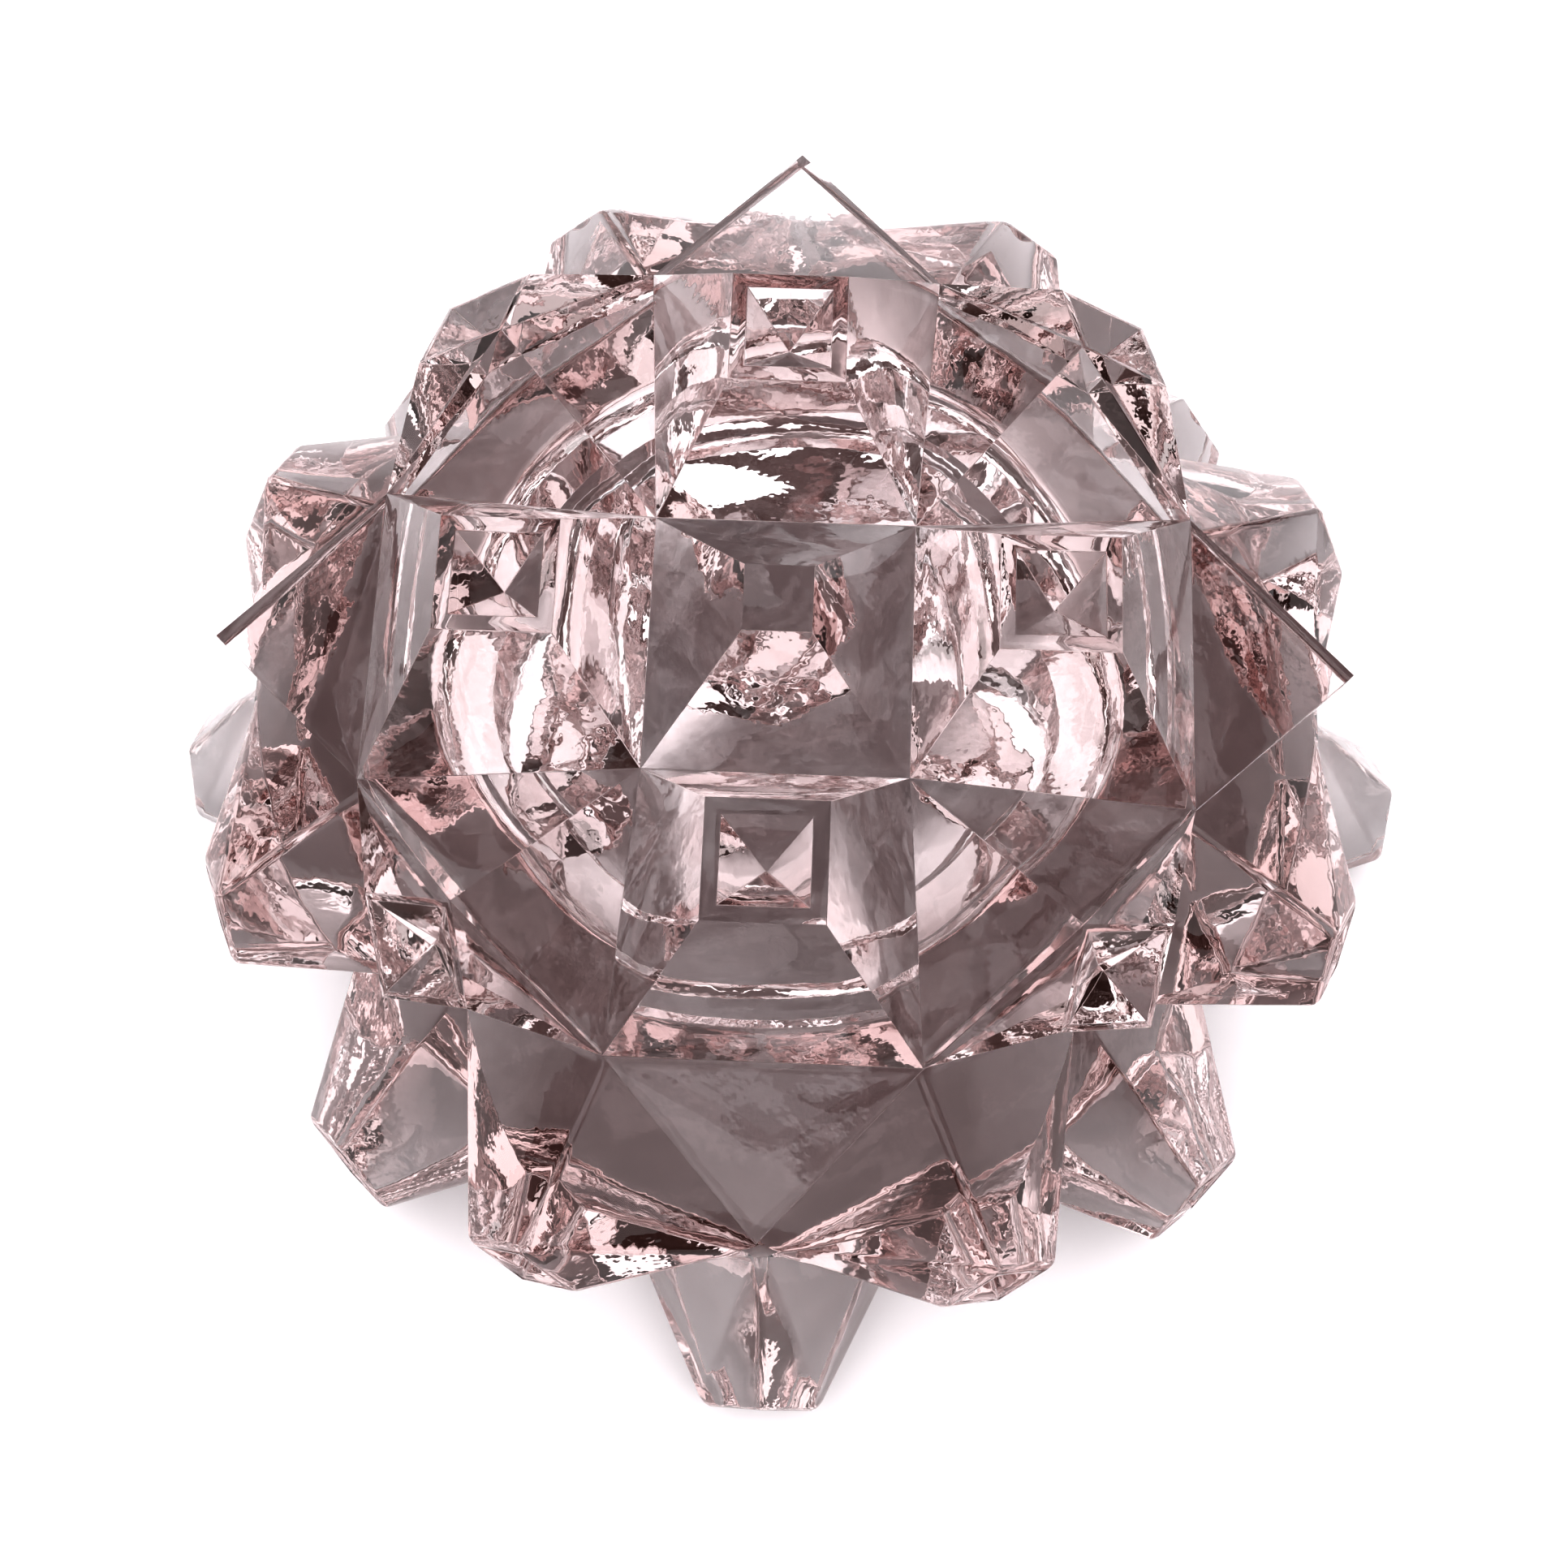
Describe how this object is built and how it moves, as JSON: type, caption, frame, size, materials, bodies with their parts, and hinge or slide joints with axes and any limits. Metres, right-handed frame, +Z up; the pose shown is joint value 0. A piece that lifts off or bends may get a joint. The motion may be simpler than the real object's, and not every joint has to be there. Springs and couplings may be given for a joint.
{
  "type": "lidded powder jar",
  "caption": "Squat powder jar of heavy pressed crystal, studded all over, with a round powder bowl on spread feet and a lift-off lid with finger grips.",
  "frame": {"origin": "middle of the underside, on the table", "axes": "+Z up the jar's own axis; X and Y each run through two opposite arms, finger grips and feet"},
  "size_m": [0.1494, 0.1494, 0.0785],
  "materials": {
    "bowl_glass": "fire-polished",
    "lid_glass": "fire-polished"
  },
  "bodies": {
    "bowl_body": {"bowl": "bowl_glass"},
    "lid_body": {"lid": "lid_glass"}
  },
  "joints": [
    {"name": "lid_lift", "type": "slide", "parent": "bowl_body", "child": "lid_body", "axis": [0, 0, 1], "range_m": [0, 0.06]}
  ]
}
